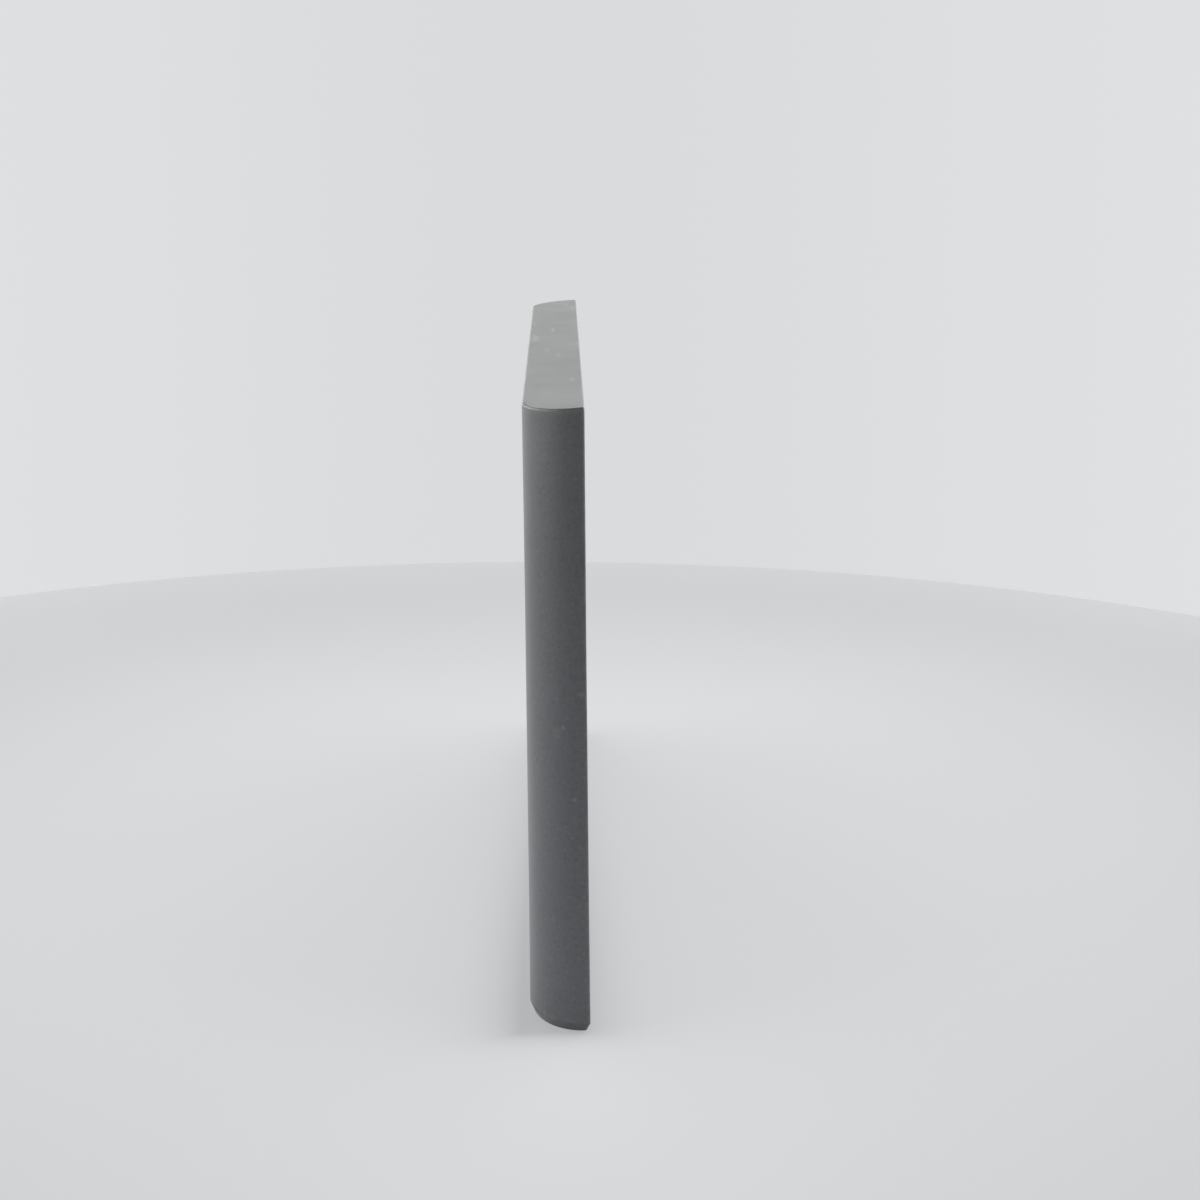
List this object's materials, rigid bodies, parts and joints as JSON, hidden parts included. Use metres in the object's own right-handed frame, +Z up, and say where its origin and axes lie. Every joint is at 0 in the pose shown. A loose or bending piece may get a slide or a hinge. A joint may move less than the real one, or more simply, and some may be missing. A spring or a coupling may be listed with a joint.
{
  "type": "massage stone",
  "caption": "Flat rectangular slab of honed dark grey stone with rounded ends, a flat back and a bevelled foot, standing on its long edge.",
  "frame": {"origin": "middle of the slab's bounding box, on the surface that its long edge stands on", "axes": "+Z up; +Y along the slab's length; +X out of the flat back, so the front face with the rounded ends looks towards -X"},
  "size_m": [0.0078, 0.12, 0.08],
  "materials": {
    "basalt": "honed to a satin, fine grain"
  },
  "bodies": {
    "root": {"massage_stone": "basalt"}
  },
  "joints": []
}
